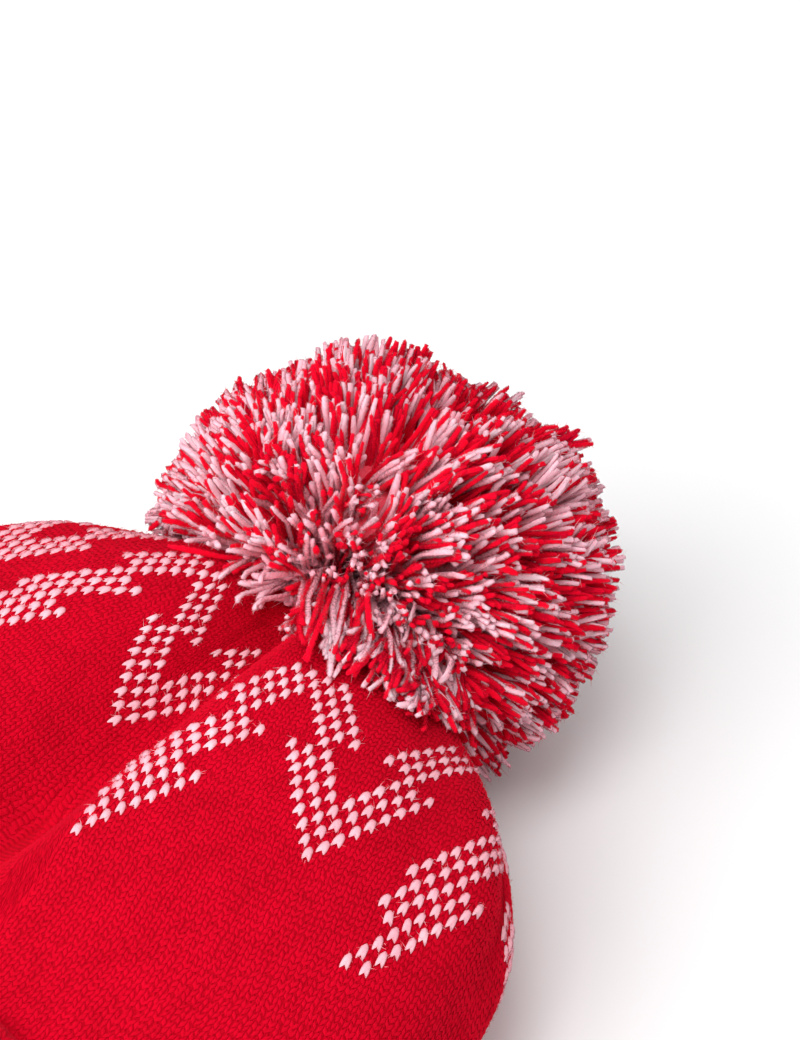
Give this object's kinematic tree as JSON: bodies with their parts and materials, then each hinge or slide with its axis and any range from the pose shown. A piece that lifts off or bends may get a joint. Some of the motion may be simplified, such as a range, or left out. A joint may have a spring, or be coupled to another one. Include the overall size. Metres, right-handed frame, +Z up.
{
  "type": "christmas beanie",
  "caption": "Red and white knitted beanie lying on its side, with a gathered crown, a fluffy yarn pompom, a turned-up ribbed cuff and an open mouth for the head.",
  "frame": {"origin": "on the surface that the hat lies on, under the middle of its bounding box", "axes": "+X along the hat's axis from the mouth to the pompom, +Y across it, +Z up from the surface"},
  "size_m": [0.285, 0.2192, 0.095],
  "materials": {
    "knit": "matt knitted yarn, red with white stitches",
    "rib": "matt ribbed knit, red",
    "pompom_yarn": "matt fluffy yarn, half red and half white strands",
    "tie_yarn": "matt white yarn"
  },
  "bodies": {
    "root": {"knit_body": "knit", "ribbed_cuff": "rib", "pompom": "pompom_yarn", "pompom_tie": "tie_yarn"}
  },
  "joints": []
}
